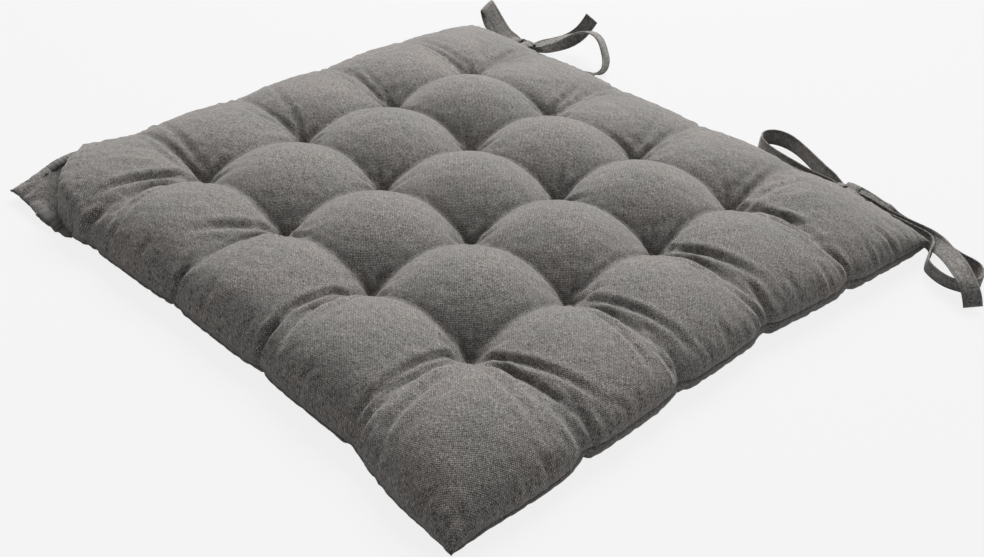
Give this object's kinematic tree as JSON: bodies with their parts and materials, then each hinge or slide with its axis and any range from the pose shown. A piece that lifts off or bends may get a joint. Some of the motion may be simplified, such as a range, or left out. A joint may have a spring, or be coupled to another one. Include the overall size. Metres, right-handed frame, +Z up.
{
  "type": "tufted chair seat pad",
  "caption": "Square padded seat cushion with a woven cotton cover, a grid of thread tufts and pairs of tie strips bowed at the back corners.",
  "frame": {"origin": "under the middle of the pad, on the surface that it lies on", "axes": "+Z up through the thickness; +Y towards the back edge, which carries the ties; +X along the back edge"},
  "size_m": [0.4753, 0.4503, 0.0421],
  "materials": {
    "canvas": "washed warm-grey cotton canvas, heathered, matt",
    "thread": "grey sewing thread",
    "filling": "off-white polyester fibre"
  },
  "bodies": {
    "pad": {"cover_top_panel": "canvas", "cover_bottom_panel": "canvas", "fibre_filling": "filling", "perimeter_seam_thread": "thread", "closing_seam_thread": "thread", "tuft_thread_01": "thread", "tuft_thread_02": "thread", "tuft_thread_03": "thread", "tuft_thread_04": "thread", "tuft_thread_05": "thread", "tuft_thread_06": "thread", "tuft_thread_07": "thread", "tuft_thread_08": "thread", "tuft_thread_09": "thread", "tuft_thread_10": "thread", "tuft_thread_11": "thread", "tuft_thread_12": "thread", "tuft_thread_13": "thread", "tuft_thread_14": "thread", "tuft_thread_15": "thread", "tuft_thread_16": "thread"},
    "left_bow": {"left_tie_strip_a": "canvas", "left_tie_strip_b": "canvas"},
    "right_bow": {"right_tie_strip_a": "canvas", "right_tie_strip_b": "canvas"}
  },
  "joints": [
    {"name": "left_bow_swing", "type": "hinge", "parent": "pad", "child": "left_bow", "pos_m": [-0.145, 0.2, 0.013], "axis": [1, 0, 0], "range_deg": [-20, 55]},
    {"name": "right_bow_swing", "type": "hinge", "parent": "pad", "child": "right_bow", "pos_m": [0.14, 0.2, 0.013], "axis": [1, 0, 0], "range_deg": [-20, 55]}
  ]
}
